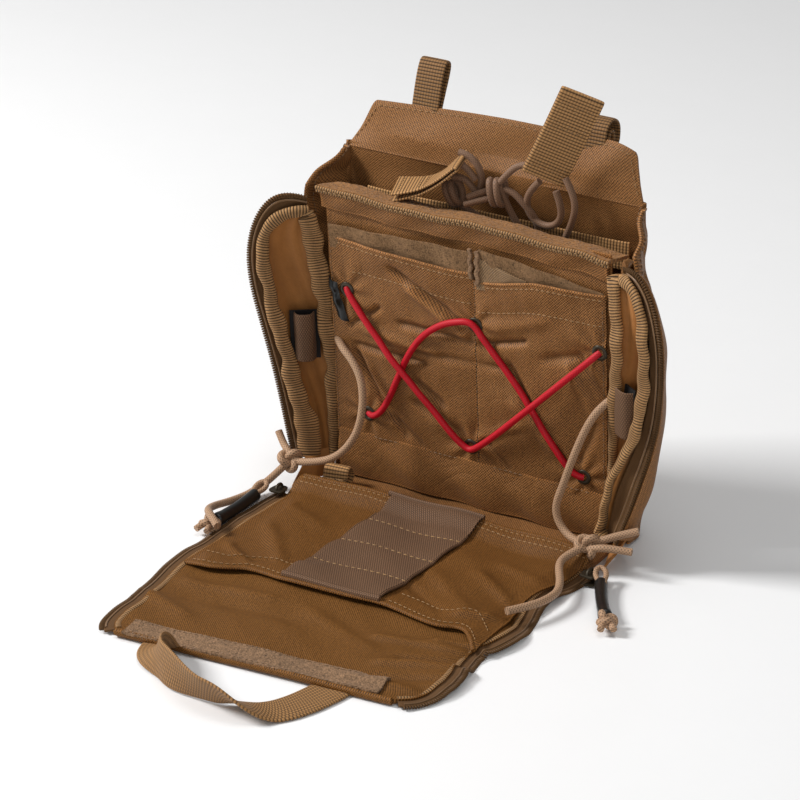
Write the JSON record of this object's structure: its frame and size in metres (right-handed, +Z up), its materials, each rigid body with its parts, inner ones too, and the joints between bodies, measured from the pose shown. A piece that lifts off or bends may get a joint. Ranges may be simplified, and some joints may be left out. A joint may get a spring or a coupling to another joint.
{
  "type": "medical pouch",
  "caption": "Nylon first-aid pouch standing open: hinged front flap, splayed zip side walls, lid, laced inner panel, pull tabs and carry handle.",
  "frame": {"origin": "on the ground under the pouch body, on its left-right centre line, at the foot of the open compartment", "axes": "+X to the pouch's right seen from behind it, -Y to the opened front flap, +Z up"},
  "size_m": [0.247, 0.3121, 0.2357],
  "materials": {
    "shell": "woven coyote-brown nylon",
    "lining": "woven coyote-brown nylon, coated",
    "binding": "ribbed binding tape",
    "webbing": "ribbed nylon webbing",
    "loop_tape": "hook-and-loop pile",
    "elastic": "smooth woven elastic",
    "paracord": "braided cord sheath",
    "tan_cord": "braided elastic cord",
    "red_cord": "braided elastic cord",
    "zip_tape": "woven zip tape",
    "zip_chain": "nylon coil",
    "slider": "satin",
    "heat_shrink": "satin",
    "eyelet": "satin"
  },
  "bodies": {
    "pouch_body": {"floor_panel": "shell", "hinge_hem": "binding", "divider_panel": "lining", "pocket_left": "lining", "pocket_right": "lining", "loop_ledge": "loop_tape", "back_panel": "shell", "gusset_left": "shell", "gusset_right": "shell", "webbing_row_inner": "webbing", "pals_rows": "webbing", "mount_strap_left": "webbing", "mount_strap_right": "webbing", "black_tab": "heat_shrink", "corner_tab": "webbing", "eyelets": "eyelet", "lacing_over": "red_cord", "lacing_under": "red_cord", "stay_cord_left_upper": "paracord", "stay_cord_left_lower": "paracord", "stay_cord_right_upper": "paracord", "stay_cord_right_lower": "paracord", "stay_knot_left": "paracord", "stay_knot_right": "paracord", "tab_cord_left": "tan_cord", "tab_knot_left": "tan_cord"},
    "front_flap": {"flap_panel": "lining", "flap_pocket": "lining", "elastic_band": "elastic", "flap_hook_strip": "loop_tape", "flap_tape_left": "zip_tape", "flap_tape_right": "zip_tape", "flap_chain_left": "zip_chain", "flap_chain_right": "zip_chain"},
    "side_wall_left": {"wall_rear_binding_left": "binding", "wall_front_binding_left": "binding", "wall_panel_left": "lining", "wall_zip_left": "zip_tape", "elastic_loop_left": "elastic"},
    "side_wall_right": {"wall_rear_binding_right": "binding", "wall_front_binding_right": "binding", "wall_panel_right": "lining", "wall_zip_right": "zip_tape", "elastic_loop_right": "elastic"},
    "lid": {"lid_panel": "shell", "lid_loop_left": "webbing", "lid_loop_right": "webbing"},
    "grab_handle": {"grab_handle": "webbing"},
    "zip_slider_left": {"slider_left": "slider"},
    "zip_pull_left": {"pull_cord_left": "paracord", "pull_tube_left": "heat_shrink", "pull_knot_left": "paracord"},
    "zip_slider_right": {"slider_right": "slider"},
    "zip_pull_right": {"pull_cord_right": "paracord", "pull_tube_right": "heat_shrink", "pull_knot_right": "paracord"},
    "tab_right": {"pull_tab_right": "webbing", "tab_cord_right": "tan_cord", "tab_knot_right": "tan_cord"},
    "tab_left": {"pull_tab_left": "webbing"}
  },
  "joints": [
    {"name": "flap_hinge", "type": "hinge", "parent": "pouch_body", "child": "front_flap", "pos_m": [0, -0.009, 0.004], "axis": [-1, 0, 0], "range_deg": [0, 83], "deforming": ["stay_cord_left_upper", "stay_cord_left_lower", "stay_cord_right_upper", "stay_cord_right_lower", "stay_knot_left", "stay_knot_right"]},
    {"name": "wall_hinge_left", "type": "hinge", "parent": "pouch_body", "child": "side_wall_left", "pos_m": [-0.085, 0.024, 0.008], "axis": [0, -0.0852, 0.9964], "range_deg": [-20, 57]},
    {"name": "wall_hinge_right", "type": "hinge", "parent": "pouch_body", "child": "side_wall_right", "pos_m": [0.085, 0.024, 0.008], "axis": [0, 0.0852, -0.9964], "range_deg": [-20, 57]},
    {"name": "lid_hinge", "type": "hinge", "parent": "pouch_body", "child": "lid", "pos_m": [0, 0.046, 0.178], "axis": [-1, 0, 0], "range_deg": [-8, 60]},
    {"name": "handle_swing", "type": "hinge", "parent": "front_flap", "child": "grab_handle", "pos_m": [0.007, -0.184, 0.0134], "axis": [-1, 0, 0], "range_deg": [0, 100]},
    {"name": "zip_slide_left", "type": "slide", "parent": "front_flap", "child": "zip_slider_left", "axis": [0, -1, 0], "range_m": [0, 0.085]},
    {"name": "pull_swing_left", "type": "hinge", "parent": "zip_slider_left", "child": "zip_pull_left", "pos_m": [-0.1004, -0.023, 0.0054], "axis": [-0.9998, 0.02, 0], "range_deg": [0, 80]},
    {"name": "zip_slide_right", "type": "slide", "parent": "front_flap", "child": "zip_slider_right", "axis": [0, -1, 0], "range_m": [0, 0.085]},
    {"name": "pull_swing_right", "type": "hinge", "parent": "zip_slider_right", "child": "zip_pull_right", "pos_m": [0.098, -0.017, 0.0054], "axis": [-0.8486, -0.5291, 0], "range_deg": [0, 80]},
    {"name": "tab_swing_right", "type": "hinge", "parent": "pouch_body", "child": "tab_right", "pos_m": [0.033, 0.036, 0.159], "axis": [0, 1, 0], "range_deg": [0, 30]},
    {"name": "tab_swing_left", "type": "hinge", "parent": "pouch_body", "child": "tab_left", "pos_m": [-0.0192, 0.029, 0.1885], "axis": [0, 1, 0], "range_deg": [0, 40]}
  ]
}
